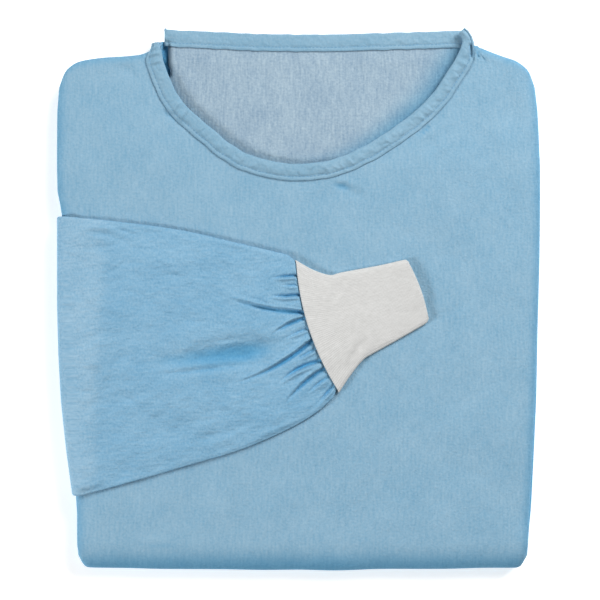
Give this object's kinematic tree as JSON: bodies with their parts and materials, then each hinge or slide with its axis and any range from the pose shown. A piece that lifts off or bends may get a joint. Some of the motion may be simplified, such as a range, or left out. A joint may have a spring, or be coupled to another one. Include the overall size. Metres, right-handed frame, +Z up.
{
  "type": "folded surgical gown",
  "caption": "Disposable surgical gown folded flat with its front up: round neck with bound edges, one sleeve laid across the front with a knitted cuff",
  "frame": {"origin": "under the middle of the folded gown, on the surface it rests on", "axes": "+Z up, the way the gown's front faces; +Y towards the neck; +X across the front, towards the wearer's left side"},
  "size_m": [0.388, 0.4359, 0.0281],
  "materials": {
    "outer_nonwoven": "light blue spunbond nonwoven polypropylene, matt with a faint calendered sheen and fine lengthwise ribs",
    "inner_nonwoven": "inner face of the same nonwoven, paler and greyer, mottled with fibre",
    "binding_nonwoven": "folded strip of the same nonwoven, stitched, slightly puckered",
    "rib_knit": "off-white fine polyester rib knit"
  },
  "bodies": {
    "root": {"front_panel": "outer_nonwoven", "back_panel": "inner_nonwoven", "neck_binding_front": "binding_nonwoven", "neck_binding_back": "binding_nonwoven", "hidden_layers": "outer_nonwoven", "sleeve_right": "outer_nonwoven", "cuff_right": "rib_knit"}
  },
  "joints": []
}
